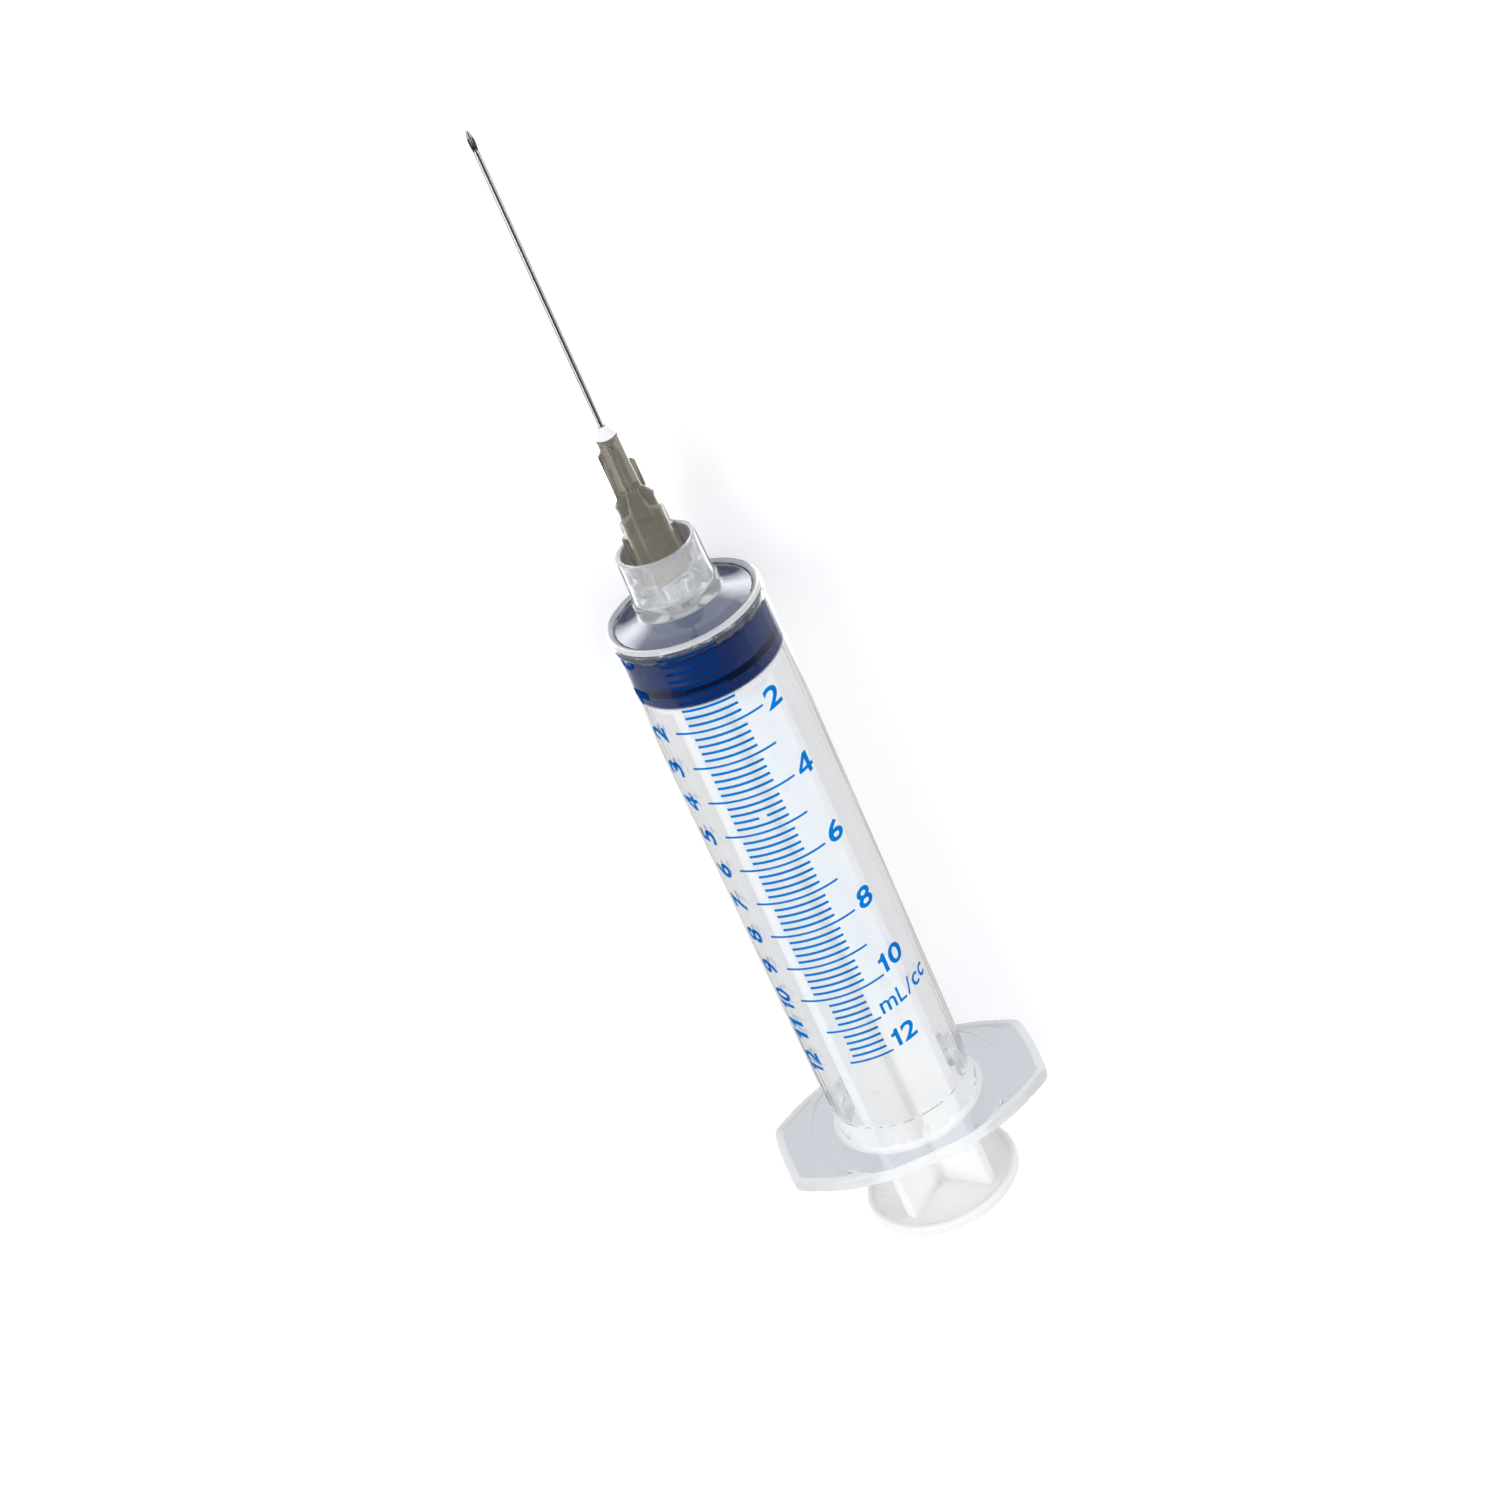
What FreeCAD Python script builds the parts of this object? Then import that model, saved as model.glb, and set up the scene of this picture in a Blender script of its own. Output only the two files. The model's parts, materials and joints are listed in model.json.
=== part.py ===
import FreeCAD, Part
import math
import os

# A 12 ml luer lock syringe with its needle fitted, lying on a table as it comes to rest.
#
# Each piece is modelled along the syringe's own axis: +Z runs from the thumb rest to the needle tip,
# zero is the top of the rim round the barrel's front end, and the printed scale faces -Y.
# At the end all pieces are laid down together: the finger flange and the front rim touch z = 0.
# Lengths are in millimetres and angles in degrees.

# Roundings that several pieces share
fine_edge = 0.1
soft_edge = 0.2
broad_edge = 0.3

# Barrel tube
bore_diameter = 16.2
barrel_wall = 0.8
flange_back = -75.2
bore_end = -1.1
retaining_bead_height = 0.2
retaining_bead_length = 1.2
retaining_bead_back = 3.6
bore_mouth_chamfer = 0.25

# Rim and sloping shoulder at the front end
rim_proud = 0.15
rim_width = 0.95
rim_height = 1.6
rim_edge = 0.42
shoulder_sink = 0.3
shoulder_slope = 24.0
inner_slope = 20.0

# Finger flange
flange_thickness = 1.7
flange_half_length = 16.7
flange_half_width = 11.5
flange_side_radius = 24.5
flange_flat = 7.0
flange_blend = 12.0
flange_end_radius = 45.0
flange_corner = 1.8
flange_edge = 0.35
flange_border = 1.0
flange_recess = 0.4
flange_land_radius = 12.4
flange_fillet = 0.6

# Luer lock collar, with its two-start thread
collar_top = 8.05
collar_radius = 4.6
collar_draft = 0.12
collar_floor = 2.0
collar_edge = 0.18
foot_radius = 5.05
foot_top = 2.65
thread_root_radius = 4.0
thread_depth = 0.5
thread_lead = 5.0
thread_starts = 2
thread_base_width = 1.15
thread_crest_width = 0.45
thread_bottom = 2.75
thread_top = 7.1
thread_end_angle = -56.0
thread_overlap = 0.15

# Luer taper, six per cent on diameter
luer_taper = 0.06
tip_end = 9.9
tip_end_diameter = 3.96
tip_bore_diameter = 2.1
luer_clearance = 0.03

# Rubber stopper
seal_clearance = 0.04
cone_gap = 0.1
ring_length = 0.7
waist_depth = 0.5
rear_ring_start = 4.55
stopper_length = 6.85
skirt_depth = 0.22
skirt_taper = 0.1
nose_radius = 1.3
head_radius = 4.3
head_length = 3.2
neck_radius = 3.2
neck_length = 1.35
head_clearance = 0.12
head_edge = 0.8
cup_edge = 0.5

# Plunger rod
rod_clearance = 0.55
rib_thickness = 1.3
rib_root_fillet = 0.8
rib_angle = 45.0
front_disc_thickness = 1.2
thumb_radius = 9.65
thumb_thickness = 1.35
thumb_gap = 10.5
thumb_edge = 0.35
thumb_rim_width = 0.9
thumb_dish = 0.3

# Needle hub
hub_mouth = 4.5
hub_mouth_radius = 2.78
hub_ring = 12.2
hub_ring_radius = 2.56
hub_ring_length = 0.45
hub_neck_radius = 2.35
hub_neck_draft = 0.05
hub_shoulder = 14.0
hub_shoulder_length = 1.2
hub_core_radius = 1.42
hub_top = 21.8
hub_top_radius = 1.24
hub_taper_depth = 7.2
funnel_radius = 0.9
funnel_length = 0.9
throat_radius = 0.55
throat_overlap = 0.3
fin_radius = 1.75
fin_thickness = 0.55
fin_tops = (20.9, 18.6, 20.6, 20.6)
fin_turn = -80.0
side_rib_radius = 3.05
side_rib_width = 1.1
side_rib_tops = (9.6, 10.1)
side_rib_lead_in = 0.3
lug_angle = -86.0
lug_radius = 3.86
lug_sink = 0.4
lug_span = 56.0
lug_base_width = 1.1
lug_tip_width = 0.75

# Needle tube, 22 gauge, and the bead of adhesive that holds it
needle_diameter = 0.72
needle_bore_diameter = 0.41
needle_tip = 58.3
needle_foot = 15.2
bevel_angle = 15.0
lancet_angle = 21.0
lancet_turn = 32.0
lancet_start = 0.12
bead_top = 23.1
bead_depth = 1.1
bead_cup_radius = 0.85
bead_clearance = 0.02
bead_lift = 0.25
bead_shelf_inset = 0.08
bead_shelf_rise = 0.12
bead_tip_wall = 0.12
bead_edge = 0.04

# Printed scale
scale_side = -90.0
ink_gap = 0.02
ink_thickness = 0.03
scale_zero = -1.25
scale_full = 12
marks_per_ml = 5
mark_width = 0.32
long_mark_width = 0.27
zero_span = (-34.0, 10.0)
short_span = (-33.0, 7.0)
even_span = (-46.5, 22.5)
odd_span = (-45.5, 20.0)
last_short_span = (-25.0, 2.0)
last_long_span = (-36.5, 7.3)
full_span = (-29.0, 5.6)
missed_mark = 23
missed_span = (-13.5, -7.5)

bore_radius = bore_diameter / 2
outer_radius = bore_radius + barrel_wall
rim_radius = outer_radius + rim_proud
cubic_mm_per_ml = 1000
ml_length = cubic_mm_per_ml / (math.pi * bore_radius ** 2)
same = 1e-6
axis = FreeCAD.Vector(0, 0, 1)
centre = FreeCAD.Vector(0, 0, 0)


def slope(degrees):
    return math.tan(math.radians(degrees))


def rounded_wire(corners):
    """A closed wire in the XZ plane from (radius, height, corner rounding) points, lines joined by arcs."""
    points = [FreeCAD.Vector(r, 0, z) for r, z, _ in corners]
    count = len(points)
    arcs = []
    for i, (point, corner) in enumerate(zip(points, corners)):
        rounding = corner[2]
        before = (points[i - 1] - point).normalize()
        after = (points[(i + 1) % count] - point).normalize()
        if rounding <= 0:
            arcs.append((point, None, point))
            continue
        half = before.getAngle(after) / 2
        reach = rounding / math.tan(half)
        inward = (before + after).normalize()
        middle = point + inward * (rounding / math.sin(half) - rounding)
        arcs.append((point + before * reach, middle, point + after * reach))
    edges = []
    for i, (start, middle, end) in enumerate(arcs):
        if middle is not None:
            edges.append(Part.Arc(start, middle, end).toShape())
        next_start = arcs[(i + 1) % count][0]
        if (next_start - end).Length > same:
            edges.append(Part.LineSegment(end, next_start).toShape())
    return Part.Wire(edges)


def turned(corners):
    """The solid that the outline sweeps round the axis."""
    return Part.Face(rounded_wire(corners)).revolve(centre, axis, 360)


def round_bar(radius, low, high, x=0.0, y=0.0):
    return Part.makeCylinder(radius, high - low, FreeCAD.Vector(x, y, low), axis)


def around(shape, degrees):
    turned_shape = shape.copy()
    turned_shape.rotate(centre, axis, degrees)
    return turned_shape


def luer_radius(height, at_mouth=False):
    """The male taper's radius at a height; the hub's socket is the same cone, wider by the clearance."""
    extra = luer_clearance if at_mouth else 0.0
    return tip_end_diameter / 2 + (tip_end - height) * luer_taper / 2 + extra


def thread_height(angle):
    """The height of a thread's middle line at an angle, on the turn that ends at the top."""
    return thread_top + (angle - thread_end_angle) * thread_lead / 360


def helical_bar(root, crest, root_width, crest_width, low, span_height):
    """A bar of trapezoid section that climbs round the axis by the thread's lead, from angle zero."""
    helix = Part.makeHelix(thread_lead, span_height, root)
    section = Part.makePolygon([
        FreeCAD.Vector(root, 0, -root_width / 2),
        FreeCAD.Vector(crest, 0, -crest_width / 2),
        FreeCAD.Vector(crest, 0, crest_width / 2),
        FreeCAD.Vector(root, 0, root_width / 2),
        FreeCAD.Vector(root, 0, -root_width / 2),
    ])
    bar = Part.Wire(helix).makePipeShell([section], True, True)
    bar = Part.Solid(bar)
    bar.translate(FreeCAD.Vector(0, 0, low))
    return bar


def shoulder_height(radius, foot_radius_at, foot_height, degrees):
    """The height of a cone that climbs inwards from its outer edge."""
    return foot_height + (foot_radius_at - radius) * slope(degrees)


def flange_outline(inset, low, high):
    """A slab of the flange's outline, drawn in by inset: two long arcs, two end arcs, rounded corners.

    The middle of each long arc is cut flat, so that the syringe stands steady on its side.
    """
    side = flange_side_radius - inset
    end = flange_end_radius - inset
    bulge = flange_side_radius - math.sqrt(flange_side_radius ** 2 - (flange_flat / 2) ** 2)
    side_offset = flange_side_radius - flange_half_width - bulge
    end_offset = flange_half_length - flange_end_radius
    slab = round_bar(side, low, high, 0, side_offset)
    slab = slab.common(round_bar(side, low, high, 0, -side_offset))
    slab = slab.common(round_bar(end, low, high, end_offset))
    slab = slab.common(round_bar(end, low, high, -end_offset))
    length = 4 * flange_half_length
    width = 2 * (flange_half_width - inset)
    slab = slab.common(Part.makeBox(length, width, high - low, FreeCAD.Vector(-length / 2, -width / 2, low)))
    upright = [e for e in slab.Edges if abs(e.Vertexes[0].Z - e.Vertexes[-1].Z) > (high - low) / 2]
    corners = [e for e in upright if abs(e.Vertexes[0].X) > flange_flat]
    blends = [e for e in upright if abs(e.Vertexes[0].X) < flange_flat]
    return slab.makeFillet(flange_corner - inset / 2, corners).makeFillet(flange_blend, blends)


def flange():
    """The finger flange: a plate with a raised border, and a sunk panel in each ear beside the round land."""
    top = flange_back + flange_thickness
    panel = top - flange_recess
    plate = flange_outline(0, flange_back, top)
    rim_edges = [e for e in plate.Edges
                 if all(abs(v.Z - flange_back) < same or abs(v.Z - top) < same for v in e.Vertexes)
                 and abs(e.Vertexes[0].Z - e.Vertexes[-1].Z) < same]
    plate = plate.makeFillet(flange_edge, rim_edges)
    sunk = flange_outline(flange_border, panel, top + 1)
    return plate.cut(sunk.cut(round_bar(flange_land_radius, panel - 1, top + 2)))


def barrel():
    """The barrel, one moulding: tube, flange, sloping shoulder, lock collar with its thread, and luer tip."""
    shoulder_edge = rim_radius - rim_width
    shoulder_foot = -shoulder_sink
    foot_bottom = shoulder_height(foot_radius, shoulder_edge, shoulder_foot, shoulder_slope)
    inner_top = shoulder_height(tip_bore_diameter / 2, bore_radius, bore_end, inner_slope)
    bead_front = flange_back + retaining_bead_back + retaining_bead_length
    top = flange_back + flange_thickness
    body = turned([
        (bore_radius + bore_mouth_chamfer, flange_back, 0),
        (outer_radius, flange_back, 0),
        (outer_radius, top - flange_recess, 0),
        (outer_radius + flange_fillet, top - flange_recess, 0),
        (outer_radius + flange_fillet, top, 0),
        (outer_radius, top + flange_fillet, 0),
        (outer_radius, -rim_height, 0),
        (rim_radius, -rim_height + rim_proud, 0),
        (rim_radius, 0, rim_edge),
        (shoulder_edge, 0, rim_edge),
        (shoulder_edge, shoulder_foot, fine_edge),
        (foot_radius, foot_bottom, soft_edge),
        (foot_radius, foot_top, broad_edge),
        (collar_radius + collar_draft, foot_top, fine_edge),
        (collar_radius, collar_top, collar_edge),
        (thread_root_radius, collar_top, collar_edge),
        (thread_root_radius, collar_floor, 0),
        (luer_radius(collar_floor), collar_floor, broad_edge),
        (luer_radius(tip_end), tip_end, soft_edge),
        (tip_bore_diameter / 2, tip_end, 0),
        (tip_bore_diameter / 2, inner_top, 0),
        (bore_radius, bore_end, 0),
        (bore_radius, bead_front + retaining_bead_height, 0),
        (bore_radius - retaining_bead_height, bead_front, 0),
        (bore_radius - retaining_bead_height, bead_front - retaining_bead_length, 0),
        (bore_radius, bead_front - retaining_bead_length - retaining_bead_height, 0),
        (bore_radius, flange_back + bore_mouth_chamfer, 0),
    ])
    opening = round_bar(outer_radius - barrel_wall / 2, flange_back - 1, 0)
    body = body.fuse(flange().cut(opening)).removeSplitter()
    flank = (thread_base_width - thread_crest_width) / 2 / thread_depth
    ridge_turn = thread_end_angle - (thread_top - thread_bottom) * 360 / thread_lead
    ridge = helical_bar(
        thread_root_radius + thread_overlap, thread_root_radius - thread_depth,
        thread_base_width + 2 * thread_overlap * flank, thread_crest_width,
        thread_bottom, thread_top - thread_bottom)
    for start in range(thread_starts):
        body = body.fuse(around(ridge, ridge_turn + start * 360 / thread_starts))
    return body


def stopper():
    """The rubber stopper: a cone nose, two sealing rings with a waist between, a cup for the rod's head."""
    ring_radius = bore_radius - seal_clearance
    front = bore_end - cone_gap
    nose = shoulder_height(nose_radius, bore_radius, bore_end, inner_slope) - cone_gap
    rear = front - stopper_length
    rear_ring = front - rear_ring_start
    waist_radius = bore_radius - waist_depth
    skirt_radius = bore_radius - skirt_depth
    lip = rear + neck_length - head_clearance
    cup_top = lip + head_length + 2 * head_clearance
    return turned([
        (0, nose, 0),
        (nose_radius, nose, broad_edge),
        (ring_radius, front, soft_edge),
        (ring_radius, front - ring_length, soft_edge),
        (waist_radius, front - ring_length - waist_depth, broad_edge),
        (waist_radius, rear_ring + waist_depth, broad_edge),
        (ring_radius, rear_ring, soft_edge),
        (ring_radius, rear_ring - ring_length, soft_edge),
        (skirt_radius, rear_ring - ring_length - skirt_depth, 0),
        (skirt_radius - skirt_taper, rear, broad_edge),
        (neck_radius + head_clearance, rear, soft_edge),
        (neck_radius + head_clearance, lip, 0),
        (head_radius + head_clearance, lip, 0),
        (head_radius + head_clearance, cup_top, cup_edge),
        (0, cup_top, 0),
    ])


def rod_ribs(low, high, radius):
    """Two crossed ribs, a four-armed cross with rounded roots and tips that follow the bore."""
    half = rib_thickness / 2
    arm = Part.makeBox(2 * radius, rib_thickness, high - low, FreeCAD.Vector(-radius, -half, low))
    cross = arm.fuse(around(arm, 90))
    cross = cross.removeSplitter()
    roots = [e for e in cross.Edges
             if len(e.Vertexes) == 2
             and all(abs(abs(v.X) - half) < same and abs(abs(v.Y) - half) < same for v in e.Vertexes)
             and abs(e.Vertexes[0].Z - e.Vertexes[1].Z) > half]
    cross = cross.makeFillet(rib_root_fillet, roots)
    return around(cross.common(round_bar(radius, low, high)), rib_angle)


def plunger_rod():
    """The plunger rod, one moulding: a mushroom head, a front disc, crossed ribs and the thumb rest."""
    stopper_rear = bore_end - cone_gap - stopper_length
    rib_radius = bore_radius - rod_clearance
    disc_front = stopper_rear - head_clearance
    disc_back = disc_front - front_disc_thickness
    head_bottom = stopper_rear + neck_length
    head_top = head_bottom + head_length
    thumb_front = flange_back - thumb_gap
    thumb_back = thumb_front - thumb_thickness
    dish_front = thumb_front - thumb_dish
    dish_radius = thumb_radius - thumb_rim_width
    front = turned([
        (0, head_top, 0),
        (head_radius, head_top, head_edge),
        (head_radius, head_bottom, 0),
        (neck_radius, head_bottom, 0),
        (neck_radius, disc_front, 0),
        (rib_radius, disc_front, soft_edge),
        (rib_radius, disc_back, soft_edge),
        (0, disc_back, 0),
    ])
    thumb = turned([
        (0, dish_front, 0),
        (dish_radius, dish_front, soft_edge),
        (dish_radius + thumb_dish / 2, thumb_front, 0),
        (thumb_radius, thumb_front, thumb_edge),
        (thumb_radius, thumb_back, thumb_edge),
        (0, thumb_back, 0),
    ])
    middle = (thumb_front + thumb_back) / 2
    ribs = rod_ribs(middle, disc_back + front_disc_thickness / 2, rib_radius)
    return front.fuse(ribs).fuse(thumb).removeSplitter()


def fin(radius, thickness, low, top, lead_in, degrees):
    """A flat radial fin whose upper end slopes back to the axis."""
    outline = Part.makePolygon([
        FreeCAD.Vector(0, -thickness / 2, low),
        FreeCAD.Vector(radius, -thickness / 2, low),
        FreeCAD.Vector(radius, -thickness / 2, top - lead_in),
        FreeCAD.Vector(radius - lead_in, -thickness / 2, top),
        FreeCAD.Vector(0, -thickness / 2, top),
        FreeCAD.Vector(0, -thickness / 2, low),
    ])
    plate = Part.Face(outline).extrude(FreeCAD.Vector(0, thickness, 0))
    return around(plate, degrees)


def needle_hub():
    """The needle's hub, one moulding: luer socket, two lugs that ride in the thread, ribs, fins and a cup."""
    shoulder_top = hub_shoulder + hub_shoulder_length
    outside = turned([
        (0, hub_mouth, 0),
        (hub_mouth_radius, hub_mouth, fine_edge),
        (hub_ring_radius, hub_ring, fine_edge),
        (hub_neck_radius + hub_neck_draft, hub_ring + hub_ring_length, 0),
        (hub_neck_radius, hub_shoulder, soft_edge),
        (hub_core_radius, shoulder_top, soft_edge),
        (hub_top_radius, hub_top, fine_edge),
        (0, hub_top, 0),
    ])
    hub = outside
    for quarter, top in enumerate(fin_tops):
        lead_in = fin_radius - hub_top_radius
        hub = hub.fuse(fin(fin_radius, fin_thickness, hub_shoulder, top, lead_in, fin_turn + 90 * quarter))
    for side, top in enumerate(side_rib_tops):
        rib = fin(side_rib_radius, side_rib_width, hub_mouth, top, side_rib_lead_in, 180 * side)
        hub = hub.fuse(rib)
    lug_root = hub_mouth_radius - lug_sink
    lug_middle = thread_height(lug_angle) - thread_lead / thread_starts / 2
    lug_rise = thread_lead * lug_span / 360
    lug_low = lug_middle - lug_rise / 2
    lug = helical_bar(lug_radius, lug_root, lug_tip_width, lug_base_width, lug_low, lug_rise)
    for side in range(2):
        hub = hub.fuse(around(lug, lug_angle - lug_span / 2 + 180 * side))
    socket_top = hub_mouth + hub_taper_depth
    socket = turned([
        (0, hub_mouth - 1, 0),
        (luer_radius(hub_mouth - 1, True), hub_mouth - 1, 0),
        (luer_radius(socket_top, True), socket_top, broad_edge),
        (funnel_radius, socket_top + funnel_length, broad_edge),
        (throat_radius, needle_foot - throat_overlap, 0),
        (0, needle_foot - throat_overlap, 0),
    ])
    tube_hole = round_bar(needle_diameter / 2, needle_foot - 1, hub_top)
    cup = turned([
        (0, hub_top - bead_depth, 0),
        (needle_diameter / 2, hub_top - bead_depth, 0),
        (bead_cup_radius, hub_top + 0.01, 0),
        (0, hub_top + 0.01, 0),
    ])
    hub = hub.cut(socket).cut(tube_hole).cut(cup)
    return hub.removeSplitter()


def adhesive_bead():
    """The bead of cured adhesive: it fills the hub's cup and climbs the needle in a cone."""
    hole = needle_diameter / 2 + bead_clearance
    bottom = hub_top - bead_depth + bead_lift
    cup_slope = (bead_cup_radius - needle_diameter / 2) / bead_depth
    return turned([
        (hole, bottom, 0),
        (needle_diameter / 2 + bead_lift * cup_slope, bottom, 0),
        (bead_cup_radius - 2 * bead_clearance, hub_top + bead_clearance, 0),
        (hub_top_radius - bead_shelf_inset, hub_top + bead_clearance, 0),
        (hub_top_radius - bead_clearance, hub_top + bead_shelf_rise, bead_edge),
        (hole + bead_tip_wall, bead_top, bead_edge),
        (hole, bead_top, 0),
    ])


def needle_tube():
    """The steel tube, cut to a long bevel that faces the scale side, with two lancet cuts at the point."""
    radius = needle_diameter / 2
    tube = round_bar(radius, needle_foot, needle_tip)
    tube = tube.cut(round_bar(needle_bore_diameter / 2, needle_foot - 1, needle_tip + 1))
    bevel_length = needle_diameter / slope(bevel_angle)
    reach = 4 * needle_diameter

    def cutter(degrees, foot, turn):
        block = Part.makeBox(2 * reach, reach, 3 * bevel_length,
                             FreeCAD.Vector(-reach, -reach, -bevel_length))
        block.rotate(centre, FreeCAD.Vector(1, 0, 0), -degrees)
        block.translate(FreeCAD.Vector(0, radius, foot))
        return around(block, turn)

    tube = tube.cut(cutter(bevel_angle, needle_tip, 0))
    for side in (-1, 1):
        tube = tube.cut(cutter(lancet_angle, needle_tip + lancet_start, side * lancet_turn))
    return tube


def ring_segment(low, high, span, printed_radius=outer_radius):
    """A thin curved bar of ink round the barrel, span being angles to the right of the scale's middle."""
    start, end = span
    inner = printed_radius + ink_gap
    outer = inner + ink_thickness
    section = Part.Face(rounded_wire([(inner, low, 0), (outer, low, 0), (outer, high, 0), (inner, high, 0)]))
    bar = section.revolve(centre, axis, end - start)
    return around(bar, scale_side + start)


def scale_marks():
    """The printed graduation: a mark for each fifth of a millilitre, longer at whole ones from two up.

    The zero mark is printed on the rim, and one short mark has a small gap in its ink.
    """
    bars = []
    for step in range(scale_full * marks_per_ml + 1):
        whole = step % marks_per_ml == 0
        ml = step // marks_per_ml
        span, width = short_span, mark_width
        if step > 10 * marks_per_ml:
            span = last_short_span
        if whole and ml > 1:
            width = long_mark_width
            span = even_span if ml % 2 == 0 else odd_span
            if ml > 10:
                span = last_long_span
            if ml == scale_full:
                span = full_span
        height = scale_zero - step * ml_length / marks_per_ml
        low, high = height - width / 2, height + width / 2
        if step == 0:
            bars.append(ring_segment(low, high, zero_span, rim_radius))
        elif step == missed_mark:
            bars.append(ring_segment(low, high, (span[0], missed_span[0])))
            bars.append(ring_segment(low, high, (missed_span[1], span[1])))
        else:
            bars.append(ring_segment(low, high, span))
    return Part.makeCompound(bars)


def lying_down():
    """The placement that lays the syringe on z = 0, scale up, resting on the flange and the front rim.

    Both supports are rounded edges, so each one's lowest point is its arc's centre less the rounding.
    The origin ends up on the floor under the middle of the whole length.
    """
    rim_arc = (-rim_edge, rim_radius - rim_edge, rim_edge)
    flange_arc = (flange_back + flange_thickness - flange_edge, flange_half_width - flange_edge, flange_edge)
    along = rim_arc[0] - flange_arc[0]
    across = rim_arc[1] - flange_arc[1]
    rounding = flange_arc[2] - rim_arc[2]
    tilt = math.asin(rounding / math.hypot(along, across)) - math.atan2(across, along)
    sine, cosine = math.sin(tilt), math.cos(tilt)
    height = rim_arc[0] * sine + rim_arc[1] * cosine + rim_arc[2]
    thumb_back = flange_back - thumb_gap - thumb_thickness
    back = (thumb_back + thumb_edge) * cosine - (thumb_radius - thumb_edge) * sine - thumb_edge
    front = needle_tip * cosine - needle_diameter / 2 * sine
    middle = (front + back) / 2
    matrix = FreeCAD.Matrix(
        0, -sine, cosine, -middle,
        -1, 0, 0, 0,
        0, -cosine, -sine, height,
        0, 0, 0, 1)
    print("tilt", math.degrees(tilt), "height", height, "middle", middle)
    return FreeCAD.Placement(matrix)


pieces = {
    "barrel": barrel,
    "scale_marks": scale_marks,
    "stopper": stopper,
    "plunger_rod": plunger_rod,
    "needle_hub": needle_hub,
    "adhesive_bead": adhesive_bead,
    "needle_tube": needle_tube,
}

os.makedirs("parts", exist_ok=True)
rest = lying_down()
for name, make in pieces.items():
    shape = make()
    shape.Placement = rest.multiply(shape.Placement)
    print(name, "valid", shape.isValid(), "solids", len(shape.Solids), "volume", round(shape.Volume, 3),
          [round(v, 2) for v in (shape.BoundBox.XMin, shape.BoundBox.XMax, shape.BoundBox.YMin,
                                 shape.BoundBox.YMax, shape.BoundBox.ZMin, shape.BoundBox.ZMax)])
    shape.exportStep("parts/" + name + ".step")
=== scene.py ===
# %% [markdown]
# A syringe of clear, milky and smoky plastics, seen from above on white.
# The imported model gives every piece at its real size. This script adds finish, print, light and a camera.
# We load the model first.

# %% Load the model
import bpy
import json
import math
from mathutils import Matrix, Vector


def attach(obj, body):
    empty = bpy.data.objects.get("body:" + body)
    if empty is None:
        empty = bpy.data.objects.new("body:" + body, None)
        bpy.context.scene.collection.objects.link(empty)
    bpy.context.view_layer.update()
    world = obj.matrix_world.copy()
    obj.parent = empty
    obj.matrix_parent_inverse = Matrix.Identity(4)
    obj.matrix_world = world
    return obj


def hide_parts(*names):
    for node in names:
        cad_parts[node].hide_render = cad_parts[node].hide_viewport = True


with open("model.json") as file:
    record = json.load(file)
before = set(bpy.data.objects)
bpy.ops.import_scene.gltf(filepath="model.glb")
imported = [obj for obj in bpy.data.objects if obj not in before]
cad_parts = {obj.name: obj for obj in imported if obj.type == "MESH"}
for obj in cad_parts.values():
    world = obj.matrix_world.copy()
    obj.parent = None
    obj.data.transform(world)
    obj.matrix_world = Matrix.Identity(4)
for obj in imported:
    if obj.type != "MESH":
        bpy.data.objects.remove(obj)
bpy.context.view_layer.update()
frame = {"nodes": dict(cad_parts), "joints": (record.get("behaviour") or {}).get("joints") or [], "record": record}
record = frame["record"]
MM = 0.001

# %% [markdown]
# A syringe is easiest to think of along its own axis, so we set up that view of it.
# "Along" is zero at the front rim and grows towards the needle. "Right" is to the right of the scale.
# The model's thumb rest mount and its slide axis say where the syringe lies, so nothing is measured by eye.

# %% The syringe's own axes
thumb_face_along = -87.05
mounts = {mount["name"]: mount for mount in record["mounts"]}
joints = {joint["name"]: joint for joint in frame["joints"]}
needle_way = -Vector(joints["plunger_slide"]["axis"]).normalized()
rim_centre = Vector(mounts["thumb_rest"]["pos_m"]) - needle_way * thumb_face_along * MM
right_way = Vector((0, -1, 0))
scale_way = needle_way.cross(right_way) * -1


def place(right, up, along):
    """The point at these millimetres to the right of the scale, up out of it, and along the needle."""
    return rim_centre + (right_way * right + scale_way * up + needle_way * along) * MM


def on_barrel(radius, angle, along):
    """The point at a radius and at an angle to the right of the scale's middle."""
    return place(radius * math.sin(angle), radius * math.cos(angle), along)


print("scale faces", [round(v, 3) for v in scale_way], "rim centre", [round(v, 4) for v in rim_centre])

# %% [markdown]
# The photograph looks down on the syringe from the needle's side, about sixty degrees above the table,
# with the needle leaning to the upper left. The camera is set up in the syringe's own axes and then rolled.

# %% The camera
eye = place(-0.78, 309.7, 159.6)
aim = place(0.14, 0, -20.22)
camera_roll = math.radians(24.48)
camera_lens = 76.8
camera_data = bpy.data.cameras.new("camera")
camera_data.lens = camera_lens
camera_data.sensor_width = 36
camera_data.clip_start = 0.01
camera = bpy.data.objects.new("camera", camera_data)
bpy.context.scene.collection.objects.link(camera)
forward = (aim - eye).normalized()
level_up = (needle_way - forward * needle_way.dot(forward)).normalized()
picture_up = Matrix.Rotation(camera_roll, 3, forward) @ level_up
picture_right = forward.cross(picture_up)
turn = Matrix((picture_right, picture_up, -forward)).transposed()
camera.matrix_world = Matrix.Translation(eye) @ turn.to_4x4()
bpy.context.scene.camera = camera
print("camera distance mm", round((aim - eye).length / MM, 1))

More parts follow.
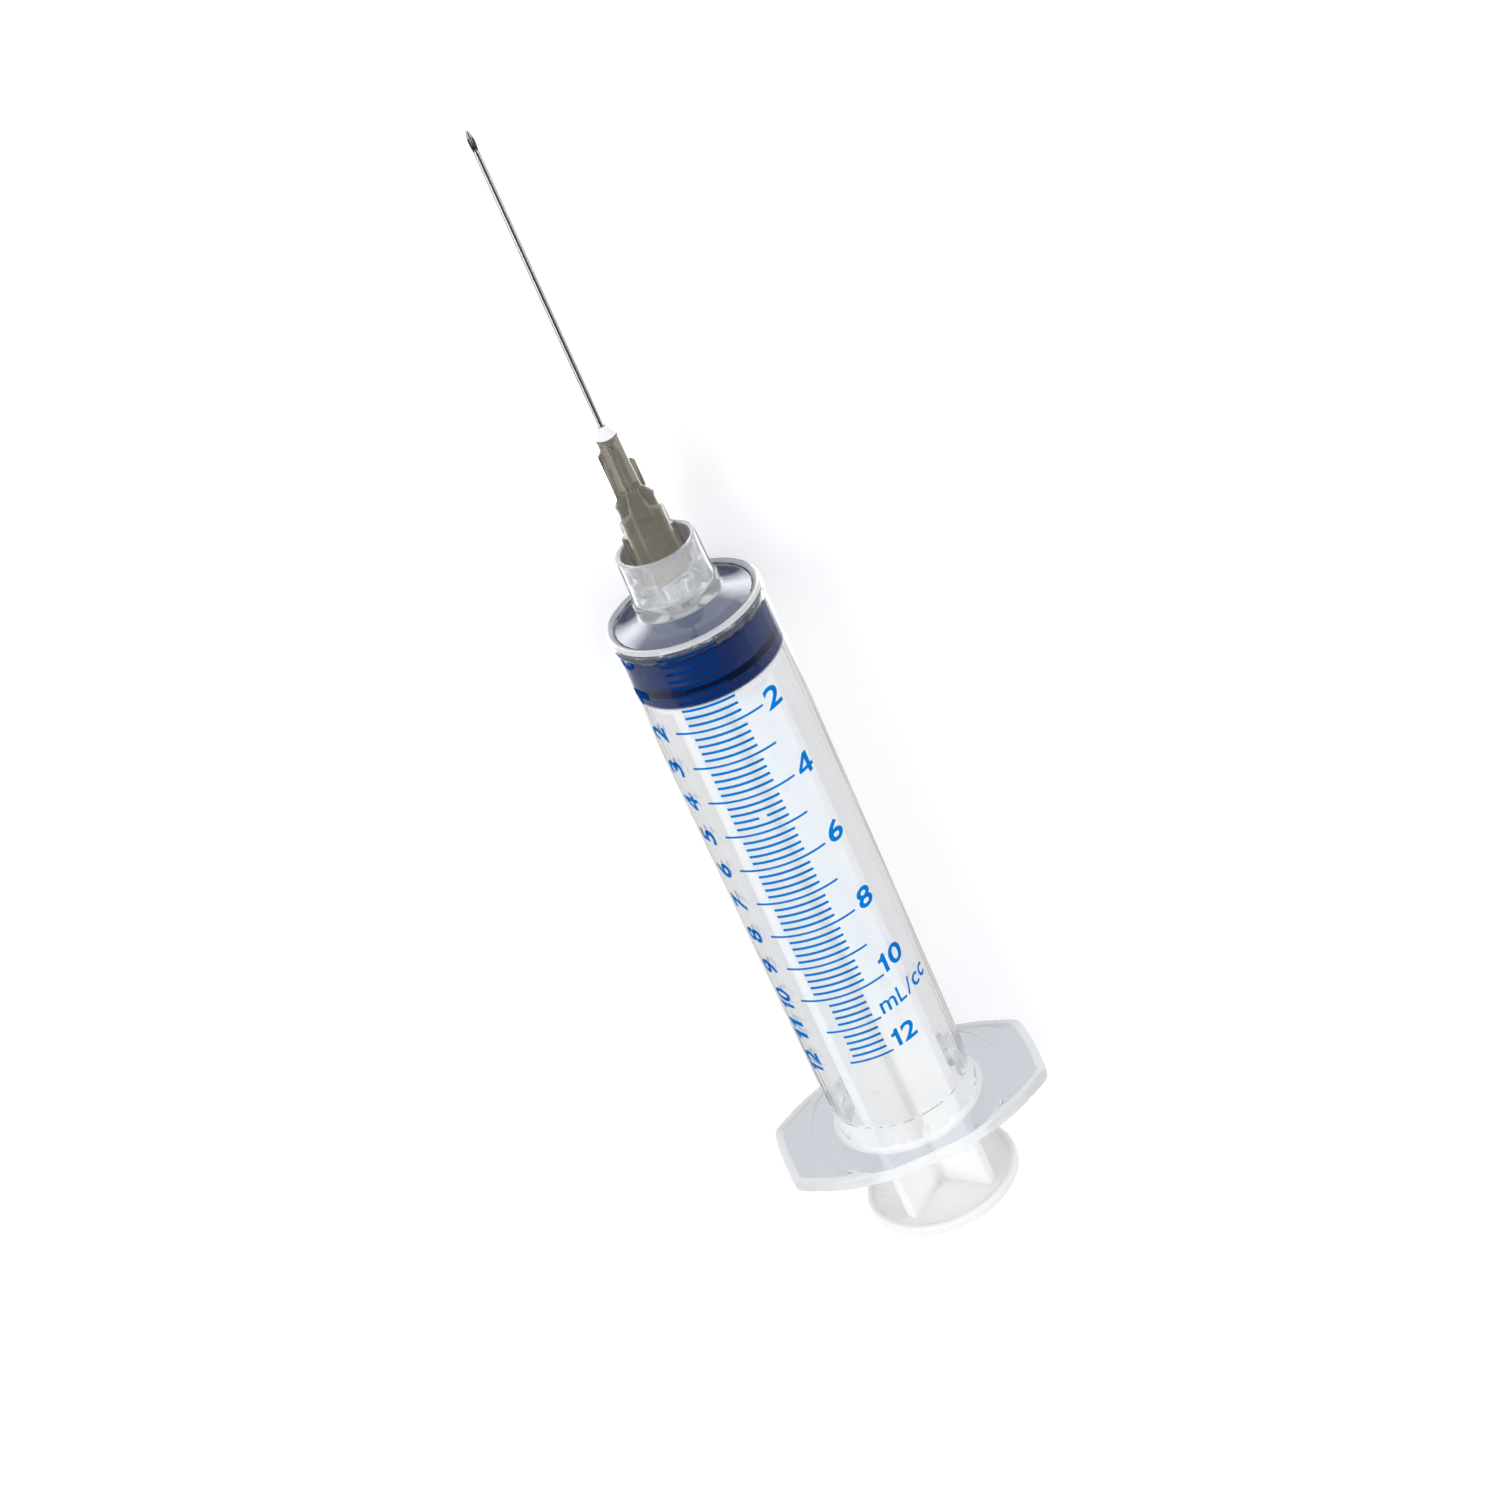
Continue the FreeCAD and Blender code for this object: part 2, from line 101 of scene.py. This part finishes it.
# %% [markdown]
# The world, the table and the finishes are all built from shader nodes. Four small helpers make the kinds
# that come up again and again: a coloured shader, a change of range, a sum and a mix.

# %% Helpers for shader nodes


def plain_shader(tree, kind, colour, strength=None):
    """A shader node of one colour, and of one strength if it glows."""
    node = tree.nodes.new(kind)
    node.inputs["Color"].default_value = (*colour, 1)
    if strength is not None:
        node.inputs["Strength"].default_value = strength
    return node


def ranged(tree, value, from_low, from_high, to_low, to_high):
    """Moves a value from one range to another, and stops at the range's ends."""
    node = tree.nodes.new("ShaderNodeMapRange")
    node.inputs["From Min"].default_value = from_low
    node.inputs["From Max"].default_value = from_high
    node.inputs["To Min"].default_value = to_low
    node.inputs["To Max"].default_value = to_high
    tree.links.new(value, node.inputs["Value"])
    return node.outputs["Result"]


def worked_out(tree, operation, *values):
    """The result of a sum, where each value is a socket or a plain number."""
    node = tree.nodes.new("ShaderNodeMath")
    node.operation = operation
    for socket, value in zip(node.inputs, values):
        if isinstance(value, float):
            socket.default_value = value
        else:
            tree.links.new(value, socket)
    return node.outputs[0]


def mixed(tree, factor, first, second):
    """The first shader where the factor is 0 and the second where it is 1."""
    node = tree.nodes.new("ShaderNodeMixShader")
    tree.links.new(factor, node.inputs[0])
    tree.links.new(first, node.inputs[1])
    tree.links.new(second, node.inputs[2])
    return node.outputs[0]


# %% [markdown]
# Clear plastic shows what stands round it, so the studio matters more than the lamps do.
# The world lights the scene plainly and looks white to the camera. In a mirror image it is dim overhead and
# bright low down.

# %% The world
low_sky, high_sky = 0.05, 0.6
low_sky_shine, high_sky_shine = 0.95, 0.12
scene = bpy.context.scene
scene.view_settings.view_transform = "Standard"
world = bpy.data.worlds.new("studio")
scene.world = world
world.use_nodes = True
sky = world.node_tree
sky.nodes.clear()
sky_out = sky.nodes.new("ShaderNodeOutputWorld")
sky_light = plain_shader(sky, "ShaderNodeBackground", (0.96, 0.97, 1.0), 0.62)
sky_white = plain_shader(sky, "ShaderNodeBackground", (1, 1, 1), 1.0)
sky_mirror = plain_shader(sky, "ShaderNodeBackground", (0.85, 0.9, 1.0))
direction = sky.nodes.new("ShaderNodeTexCoord")
height = sky.nodes.new("ShaderNodeSeparateXYZ")
sky.links.new(direction.outputs["Generated"], height.inputs[0])
dimming = ranged(sky, height.outputs["Z"], low_sky, high_sky, low_sky_shine, high_sky_shine)
sky.links.new(dimming, sky_mirror.inputs["Strength"])
rays = sky.nodes.new("ShaderNodeLightPath")
unseen = mixed(sky, rays.outputs["Is Glossy Ray"], sky_light.outputs[0], sky_mirror.outputs[0])
all_rays = mixed(sky, rays.outputs["Is Camera Ray"], unseen, sky_white.outputs[0])
sky.links.new(all_rays, sky_out.inputs[0])
print("world ready")

# %% [markdown]
# The table looks white to the camera and through the plastic. In a mirror image it glows with painted light:
# a painted shade at the foot of the rim, a brilliant painted ring round that, and a calm glow farther out and
# behind the rim. The ring is what makes the sloping shoulder shine. Mirror images from inside the plastic see
# a calmer table, or they would burn out.

# %% The table
table_size = 6.0
table_drop = 0.00002
shade_end, ring_start, ring_end, calm_start = 0.009, 0.013, 0.015, 0.024
shade_shine, ring_shine, calm_shine, inside_shine = 0.1, 9.0, 1.8, 0.8
behind_share, rim_half_zone = 0.43, 0.01
first_pass, no_ceiling = 0.5, 20.0
bpy.ops.object.select_all(action="DESELECT")
bpy.ops.mesh.primitive_plane_add(size=table_size, location=(0, 0, -table_drop))
table = bpy.context.object
table.name = "table"
table_white = bpy.data.materials.new("table_white")
table_white.use_nodes = True
tree = table_white.node_tree
tree.nodes.clear()
table_out = tree.nodes.new("ShaderNodeOutputMaterial")
table_plain = plain_shader(tree, "ShaderNodeBsdfDiffuse", (0.80, 0.80, 0.81))
table_glow = plain_shader(tree, "ShaderNodeEmission", (1, 1, 1), 0.35)
painted_reflection_glow = plain_shader(tree, "ShaderNodeEmission", (1, 1, 1))
table_both = tree.nodes.new("ShaderNodeAddShader")
tree.links.new(table_plain.outputs[0], table_both.inputs[0])
tree.links.new(table_glow.outputs[0], table_both.inputs[1])

# The glow seen in mirror images is painted: painted shade near the rim's foot, a painted bright ring, a calm glow
# beyond.
spot = tree.nodes.new("ShaderNodeTexCoord")
from_rim_foot = tree.nodes.new("ShaderNodeVectorMath")
from_rim_foot.operation = "DISTANCE"
from_rim_foot.inputs[1].default_value = (rim_centre.x, 0, 0)
tree.links.new(spot.outputs["Object"], from_rim_foot.inputs[0])
distance = from_rim_foot.outputs["Value"]
fade_in = ranged(tree, distance, shade_end, ring_start, shade_shine, ring_shine)
fade_out = ranged(tree, distance, ring_end, calm_start, ring_shine, calm_shine)
ring = worked_out(tree, "MINIMUM", fade_in, fade_out)
along_table = tree.nodes.new("ShaderNodeSeparateXYZ")
tree.links.new(spot.outputs["Object"], along_table.inputs[0])
in_front = ranged(tree, along_table.outputs["X"], rim_centre.x - rim_half_zone, rim_centre.x + rim_half_zone,
                  behind_share, 1.0)
shine = worked_out(tree, "MULTIPLY", ring, in_front)

rays = tree.nodes.new("ShaderNodeLightPath")
from_outside = worked_out(tree, "LESS_THAN", rays.outputs["Transmission Depth"], first_pass)
ceiling = worked_out(tree, "MULTIPLY_ADD", from_outside, no_ceiling, inside_shine)
tree.links.new(worked_out(tree, "MINIMUM", shine, ceiling), painted_reflection_glow.inputs["Strength"])
seen = worked_out(tree, "MAXIMUM", rays.outputs["Is Camera Ray"], rays.outputs["Is Transmission Ray"])
lit_or_seen = mixed(tree, seen, table_plain.outputs[0], table_both.outputs[0])
all_rays = mixed(tree, rays.outputs["Is Glossy Ray"], lit_or_seen, painted_reflection_glow.outputs[0])
tree.links.new(all_rays, table_out.inputs[0])
table.data.materials.append(table_white)
print("table ready, its bright ring is", round((ring_end - ring_start) / MM, 1), "mm wide")

# %% [markdown]
# Two wide, soft lamps, one on each side, leave a faint shadow.

# %% The lamps


def soft_lamp(name, where, size, power):
    """A wide lamp that hangs at a place, in metres, and points at the syringe."""
    data = bpy.data.lights.new(name, "AREA")
    data.shape = "RECTANGLE"
    data.size, data.size_y = size
    data.energy = power
    lamp = bpy.data.objects.new(name, data)
    bpy.context.scene.collection.objects.link(lamp)
    lamp.location = where
    lamp.rotation_euler = (-Vector(where)).to_track_quat("-Z", "Y").to_euler()


soft_lamp("lamp_left", (0.1, 0.55, 0.55), (0.9, 0.25), 3.2)
soft_lamp("lamp_right", (0.15, -0.6, 0.5), (0.9, 0.3), 2.2)
print("lamps ready")

# %% [markdown]
# Every finish starts from the same kind of shader. A little helper makes one with its plain numbers set
# on the shader's own sockets, and gives back the shader, so that each finish can add its own grain.

# %% Helpers for finishes
noise_low, noise_high = 0.3, 0.7


def finish_of(name, colour, roughness, **settings):
    """A new material with one Principled shader: its colour, its roughness and other sockets by name."""
    material = bpy.data.materials.new(name)
    material.use_nodes = True
    shader = material.node_tree.nodes["Principled BSDF"]
    shader.inputs["Base Color"].default_value = (*colour, 1)
    shader.inputs["Roughness"].default_value = roughness
    for socket, value in settings.items():
        shader.inputs[socket.replace("_", " ")].default_value = value
    return material, shader


def speckle(material, scale, detail=4.0, stretch=(1, 1, 1)):
    """Noise on Object coordinates, stretched along an axis where the real surface has drawn lines."""
    tree = material.node_tree
    where = tree.nodes.new("ShaderNodeTexCoord")
    mapping = tree.nodes.new("ShaderNodeMapping")
    mapping.inputs["Scale"].default_value = stretch
    noise = tree.nodes.new("ShaderNodeTexNoise")
    noise.inputs["Scale"].default_value = scale
    noise.inputs["Detail"].default_value = detail
    tree.links.new(where.outputs["Object"], mapping.inputs["Vector"])
    tree.links.new(mapping.outputs["Vector"], noise.inputs["Vector"])
    return noise.outputs["Fac"]


def between(material, factor, low, high, socket):
    """Spreads a noise factor over a range of numbers and sends it to a shader's socket."""
    tree = material.node_tree
    tree.links.new(ranged(tree, factor, noise_low, noise_high, low, high), socket)


def blend_colours(material, factor, first, second, socket):
    """Runs from one colour to another with a factor and sends the colour to a shader's socket."""
    ramp = material.node_tree.nodes.new("ShaderNodeValToRGB")
    ramp.color_ramp.elements[0].position = noise_low
    ramp.color_ramp.elements[0].color = (*first, 1)
    ramp.color_ramp.elements[1].position = noise_high
    ramp.color_ramp.elements[1].color = (*second, 1)
    material.node_tree.links.new(factor, ramp.inputs["Fac"])
    material.node_tree.links.new(ramp.outputs["Color"], socket)


# %% [markdown]
# A ray tracer lets no lamp light through bent glass, so whatever lies inside a clear barrel would sit in
# the dark. For rays that only carry light, and aren't seen, the plastic is therefore left wide open.

# %% Letting light into the barrel


def let_light_in(material, tint=(1, 1, 1)):
    """Makes a finish clear to the rays that carry light to what lies behind it."""
    tree = material.node_tree
    out = tree.nodes["Material Output"]
    seen_side = out.inputs["Surface"].links[0].from_socket
    open_side = plain_shader(tree, "ShaderNodeBsdfTransparent", tint)
    path = tree.nodes.new("ShaderNodeLightPath")
    only_light = worked_out(tree, "MAXIMUM", path.outputs["Is Shadow Ray"], path.outputs["Is Diffuse Ray"])
    tree.links.new(mixed(tree, only_light, seen_side, open_side.outputs[0]), out.inputs["Surface"])


# %% [markdown]
# The barrel is one moulding, but it doesn't look the same all over. Its thin wall is clear, its shoulder
# hazy with a painted sheen, its thick collar milky and its flange faintly grey, with a whiter finish on its edges
# and the rim's bead that is a painted highlight. The wall round the stopper is wet with lubricant and doesn't
# bend light on its inside, so the stopper fills it. That makes six finishes. The stopper gets two, and the other
# pieces get one each.

# %% The finishes
clear, shader = finish_of("clear_plastic", (0.97, 0.975, 0.985), 0.04, IOR=1.45, Transmission_Weight=1.0)
between(clear, speckle(clear, 260), 0.02, 0.06, shader.inputs["Roughness"])
let_light_in(clear)

grey_clear, shader = finish_of("flange_plastic", (0.80, 0.83, 0.89), 0.12, IOR=1.45, Transmission_Weight=0.92)
between(grey_clear, speckle(grey_clear, 260), 0.08, 0.16, shader.inputs["Roughness"])
let_light_in(grey_clear, (0.92, 0.93, 0.95))

# The hazy finish's pale blue diffuse share is a painted sheen: it stands in for the light the shoulder mirrors
# over the dark stopper.
hazy_sheen, shader = finish_of("hazy_sheen_plastic", (0.85, 0.92, 1.0), 0.06, IOR=1.5, Transmission_Weight=0.93)
between(hazy_sheen, speckle(hazy_sheen, 420), 0.03, 0.08, shader.inputs["Roughness"])
let_light_in(hazy_sheen, (0.85, 0.87, 0.9))

milky, shader = finish_of("milky_plastic", (0.97, 0.975, 0.98), 0.07, IOR=1.2, Transmission_Weight=0.8)
between(milky, speckle(milky, 420), 0.04, 0.1, shader.inputs["Roughness"])
let_light_in(milky, (0.93, 0.94, 0.95))

# The whiter edge finish is a painted highlight: it stands in for the light clear plastic catches at the flange's
# edges and the rim's bead.
white_edge_highlight, shader = finish_of("white_edge_highlight", (0.985, 0.99, 0.995), 0.2, IOR=1.45, Transmission_Weight=0.42)
between(white_edge_highlight, speckle(white_edge_highlight, 420), 0.15, 0.25, shader.inputs["Roughness"])
let_light_in(white_edge_highlight, (0.95, 0.95, 0.96))

wetted, shader = finish_of("wetted_plastic", (0.88, 0.895, 0.925), 0.02, IOR=1.001, Transmission_Weight=1.0)
between(wetted, speckle(wetted, 260), 0.01, 0.03, shader.inputs["Roughness"])
let_light_in(wetted)

ink, shader = finish_of("blue_ink", (0.001, 0.245, 0.74), 0.1, IOR=1.02, Transmission_Weight=0.92)
blend_colours(ink, speckle(ink, 1500), (0.001, 0.23, 0.71), (0.002, 0.26, 0.77), shader.inputs["Base Color"])
let_light_in(ink, (0.75, 0.87, 0.97))

rubber, shader = finish_of("blue_rubber", (0.004, 0.019, 0.105), 0.3, IOR=1.3)
between(rubber, speckle(rubber, 900), 0.25, 0.35, shader.inputs["Roughness"])

pressed, shader = finish_of("pressed_rubber", (0.001, 0.005, 0.03), 0.5, IOR=1.05)
between(pressed, speckle(pressed, 900), 0.4, 0.6, shader.inputs["Roughness"])

white, shader = finish_of("white_plastic", (0.91, 0.91, 0.895), 0.32, IOR=1.49)
shader.inputs["Subsurface Weight"].default_value = 0.5
shader.inputs["Subsurface Radius"].default_value = (1, 0.95, 0.9)
shader.inputs["Subsurface Scale"].default_value = 0.0015
between(white, speckle(white, 300), 0.26, 0.38, shader.inputs["Roughness"])

smoky, shader = finish_of("smoky_plastic", (0.36, 0.335, 0.28), 0.12, IOR=1.25, Transmission_Weight=0.72)
between(smoky, speckle(smoky, 500), 0.08, 0.16, shader.inputs["Roughness"])
let_light_in(smoky, (0.6, 0.57, 0.52))

# The adhesive's near-white colour is a painted highlight on what is clear epoxy.
adhesive_highlight, shader = finish_of("painted_highlight_adhesive", (0.98, 0.98, 0.97), 0.12, IOR=1.4, Transmission_Weight=0.1)
between(adhesive_highlight, speckle(adhesive_highlight, 800), 0.08, 0.18, shader.inputs["Roughness"])

steel, shader = finish_of("drawn_steel", (0.42, 0.42, 0.43), 0.22, Metallic=1.0)
between(steel, speckle(steel, 4000, stretch=(0.02, 1, 1)), 0.16, 0.3, shader.inputs["Roughness"])
print("finishes ready")

# %% [markdown]
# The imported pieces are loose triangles, which shade as facets. A copy of each is merged into one skin and
# shaded smooth wherever its faces meet at less than a set angle. The copy stands in for the original.
# Long thin triangles bend the light at their ends, so the tube is cut into rings, and big faces lead
# the way where they meet small ones.

# %% Smooth copies of the pieces
smooth_angle = math.radians(32)
merge_distance = 0.000002


def smooth_copy(node, body, finishes, cuts=()):
    """A merged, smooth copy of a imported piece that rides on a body, replaces the piece and is cut into rings."""
    bpy.ops.object.select_all(action="DESELECT")
    piece = frame["nodes"][node].copy()
    piece.data = frame["nodes"][node].data.copy()
    piece.name = node + "_finished"
    bpy.context.scene.collection.objects.link(piece)
    piece.parent = None
    piece.matrix_world = Matrix.Identity(4)
    piece.select_set(True)
    bpy.context.view_layer.objects.active = piece
    piece.data.materials.clear()
    for finish in finishes:
        piece.data.materials.append(finish)
    bpy.ops.object.mode_set(mode="EDIT")
    bpy.ops.mesh.select_all(action="SELECT")
    bpy.ops.mesh.remove_doubles(threshold=merge_distance)
    for along in cuts:
        bpy.ops.mesh.select_all(action="SELECT")
        bpy.ops.mesh.bisect(plane_co=place(0, 0, along), plane_no=needle_way)
    bpy.ops.object.mode_set(mode="OBJECT")
    bpy.ops.object.shade_smooth_by_angle(angle=smooth_angle)
    steady = piece.modifiers.new("steady", "WEIGHTED_NORMAL")
    steady.keep_sharp = True
    bpy.ops.object.modifier_apply(modifier="steady")
    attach(piece, body)
    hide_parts(node)
    print(piece.name, len(piece.data.polygons), "faces")
    return piece


barrel = smooth_copy("barrel", "barrel", [clear, hazy_sheen, milky, grey_clear, white_edge_highlight, wetted],
                     cuts=(-1.25, -1.9, -3, -8.1, -15, -30, -45, -60, -69.9, -72.1, -72.7))
marks = smooth_copy("scale_marks", "barrel", [ink])
stopper = smooth_copy("stopper", "stopper", [rubber, pressed])
rod = smooth_copy("plunger_rod", "plunger_rod", [white], cuts=(-11, -12, -30, -50, -70, -84))
bead = smooth_copy("adhesive_bead", "needle_carrier", [adhesive_highlight])
hub = smooth_copy("needle_hub", "needle", [smoky])
tube = smooth_copy("needle_tube", "needle", [steel])

# %% [markdown]
# Where a face of the barrel lies, along the syringe and out from its axis, tells which finish it takes.
# On the flange, the flat faces are grey, and the raised border, edges, steps and roundings take the whiter finish,
# a painted highlight.
# The stopper's rings press on the wall with no air between, so their crests look darker.

# %% Finishes along the barrel and the stopper
CLEAR, HAZY_SHEEN, MILKY, GREY, HIGHLIGHT_WHITE, WETTED = range(6)
collar_start = 1.55
rim_top, rim_start = -0.45, -1.62
stopper_front, stopper_skirt = -1.25, -8.1
bead_start = -69.95
flange_start, flange_front = -72.5, -73.5
tube_radius, wall_middle, rim_inside, land_radius = 9.0, 8.5, 8.15, 12.45
ring_crest = 7.95
slack = 0.05
flat_facing = 0.97


def along_and_outward(face):
    """How far along the needle's way a face lies, and how far out from the axis, in millimetres."""
    from_rim = face.center - rim_centre
    along = from_rim.dot(needle_way)
    return along / MM, (from_rim - needle_way * along).length / MM


for face in barrel.data.polygons:
    along, outward = along_and_outward(face)
    flat = abs(face.normal.dot(needle_way)) > flat_facing
    face.material_index = CLEAR
    if along > collar_start:
        face.material_index = MILKY
    elif rim_start < along < rim_top and outward > tube_radius - slack:
        face.material_index = HAZY_SHEEN
    elif along > rim_top:
        face.material_index = HIGHLIGHT_WHITE if outward > rim_inside else HAZY_SHEEN
    elif stopper_skirt < along < stopper_front and outward < wall_middle:
        face.material_index = WETTED
    elif along < bead_start and outward < wall_middle:
        face.material_index = MILKY
    elif along < flange_start and outward > tube_radius:
        raised = along > flange_front - slack and outward > land_radius
        face.material_index = GREY if flat and not raised else HIGHLIGHT_WHITE
for face in stopper.data.polygons:
    face.material_index = 1 if along_and_outward(face)[1] > ring_crest else 0
counts = [sum(face.material_index == i for face in barrel.data.polygons) for i in range(WETTED + 1)]
print("the barrel's faces of each finish", counts)

# %% [markdown]
# The numbers are printed ink. The built-in font has no bold weight, so its outlines are swelled a little.
# Two figures don't take that well, the one and the four, so those are drawn as flat outlines.
# The nine is a six turned round.

# %% Flat figures
hand_drawn = {
    "1": [[(0.20, 0), (0.41, 0), (0.41, 1), (0.26, 1), (0.17, 0.85), (0, 0.79), (0, 0.64), (0.20, 0.64)]],
    "4": [[(0.43, 0), (0.62, 0), (0.62, 0.22), (0.74, 0.22), (0.74, 0.38), (0.62, 0.38), (0.62, 1),
           (0.42, 1), (0, 0.39), (0, 0.22), (0.43, 0.22)],
          [(0.43, 0.38), (0.17, 0.38), (0.43, 0.73)]],
}
figure_widths = {"1": 0.41, "4": 0.83, "/": 0.42, "m": 1.05, "L": 0.55, "c": 0.62}
low_figures = {"m": 0.74, "c": 0.74}
slim_gap = 0.17


def flat_figure(figure, weight):
    """One figure as a flat mesh, one unit high and as wide as it is in print."""
    bpy.ops.object.select_all(action="DESELECT")
    if figure in hand_drawn:
        bpy.ops.curve.primitive_bezier_curve_add(location=(0, 0, 0))
        shape = bpy.context.object
        shape.data.splines.clear()
        shape.data.dimensions = "2D"
        shape.data.fill_mode = "BOTH"
        for corners in hand_drawn[figure]:
            spline = shape.data.splines.new("POLY")
            spline.points.add(len(corners) - 1)
            for point, (x, y) in zip(spline.points, corners):
                point.co = (x, y, 0, 1)
            spline.use_cyclic_u = True
    else:
        bpy.ops.object.text_add(location=(0, 0, 0))
        shape = bpy.context.object
        shape.data.body = "6" if figure == "9" else figure
        shape.data.offset = weight
        shape.data.resolution_u = 6
    bpy.ops.object.convert(target="MESH")
    flat = bpy.context.object
    corners = [vertex.co for vertex in flat.data.vertices]
    low_x, high_x = min(c.x for c in corners), max(c.x for c in corners)
    low_y, high_y = min(c.y for c in corners), max(c.y for c in corners)
    wide, high = figure_widths.get(figure, 0.83), low_figures.get(figure, 1.0)
    for vertex in flat.data.vertices:
        vertex.co.x = (vertex.co.x - low_x) / (high_x - low_x) * wide
        vertex.co.y = (vertex.co.y - low_y) / (high_y - low_y) * high
        if figure == "9":
            vertex.co = (wide - vertex.co.x, high - vertex.co.y, 0)
    return flat, wide


print("figures drawn by hand", list(hand_drawn))

# %% [markdown]
# A word is set figure by figure, joined, and scaled to its printed size. Narrow upright cuts let it bend,
# and it is then wrapped round the barrel and given the thickness of the ink.

# %% Printing on the barrel
barrel_radius = 8.9
ink_lift = 0.02
ink_thickness = 0.03
strip = 0.3


def printed(name, words, height, width, angle, along, weight=0.02, sideways=False):
    """Words printed on the barrel: height and width in millimetres, angle and along of their middle."""
    reach = 0.0
    figures = []
    for figure in words:
        flat, wide = flat_figure(figure, weight)
        for vertex in flat.data.vertices:
            vertex.co.x += reach
        reach += wide + slim_gap
        figures.append(flat)
    reach -= slim_gap
    bpy.ops.object.select_all(action="DESELECT")
    for flat in figures:
        flat.select_set(True)
    bpy.context.view_layer.objects.active = figures[0]
    if len(figures) > 1:
        bpy.ops.object.join()
    letters = bpy.context.object
    letters.name = name
    for vertex in letters.data.vertices:
        x = (vertex.co.x / reach - 0.5) * width
        y = (vertex.co.y - 0.5) * height
        vertex.co = (-y, x, 0) if sideways else (x, y, 0)
    bpy.ops.object.mode_set(mode="EDIT")
    span = height if sideways else width
    cuts = int(span / strip)
    for step in range(1, cuts):
        bpy.ops.mesh.select_all(action="SELECT")
        bpy.ops.mesh.bisect(plane_co=((step / cuts - 0.5) * span, 0, 0), plane_no=(1, 0, 0))
    bpy.ops.object.mode_set(mode="OBJECT")
    for vertex in letters.data.vertices:
        turn_by = math.radians(angle) + vertex.co.x / barrel_radius
        vertex.co = on_barrel(barrel_radius + ink_lift, turn_by, along + vertex.co.y)
    thick = letters.modifiers.new("ink", "SOLIDIFY")
    thick.thickness = ink_thickness * MM
    thick.offset = 1
    bpy.ops.object.modifier_apply(modifier="ink")
    letters.data.materials.clear()
    letters.data.materials.append(ink)
    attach(letters, "barrel")
    return letters


bore_radius = 8.1
cubic_mm_per_ml = 1000
ml_length = cubic_mm_per_ml / (math.pi * bore_radius ** 2)
scale_zero = -1.25
last_number = 12
row_rise = 1.25
side_angle, side_shift, side_height = -66, 0.1, 2.6
one_figure_width, two_figures_width = 2.0, 3.1
for number, angle, rise in ((2, 32.3, 0.1), (4, 34.0, 0.3), (6, 34.4, 0.5), (8, 34.4, 0.5)):
    tick = scale_zero - number * ml_length
    printed(f"number_{number}", str(number), 2.65, 2.2, angle, tick + rise)
printed("number_10", "10", 2.55, 3.7, 34.0, scale_zero - 10 * ml_length + row_rise)
printed("number_12", "12", 2.5, 3.25, 18.5, scale_zero - last_number * ml_length + row_rise)
printed("unit", "mL/cc", 2.2, 8.1, 35.7, scale_zero - 11 * ml_length + row_rise, weight=0.008)
for number in range(last_number + 1):
    width = one_figure_width if number < 10 else two_figures_width
    printed(f"side_number_{number}", str(number), side_height, width, side_angle,
            scale_zero - (number + side_shift) * ml_length, sideways=True)
print("numbers ready")
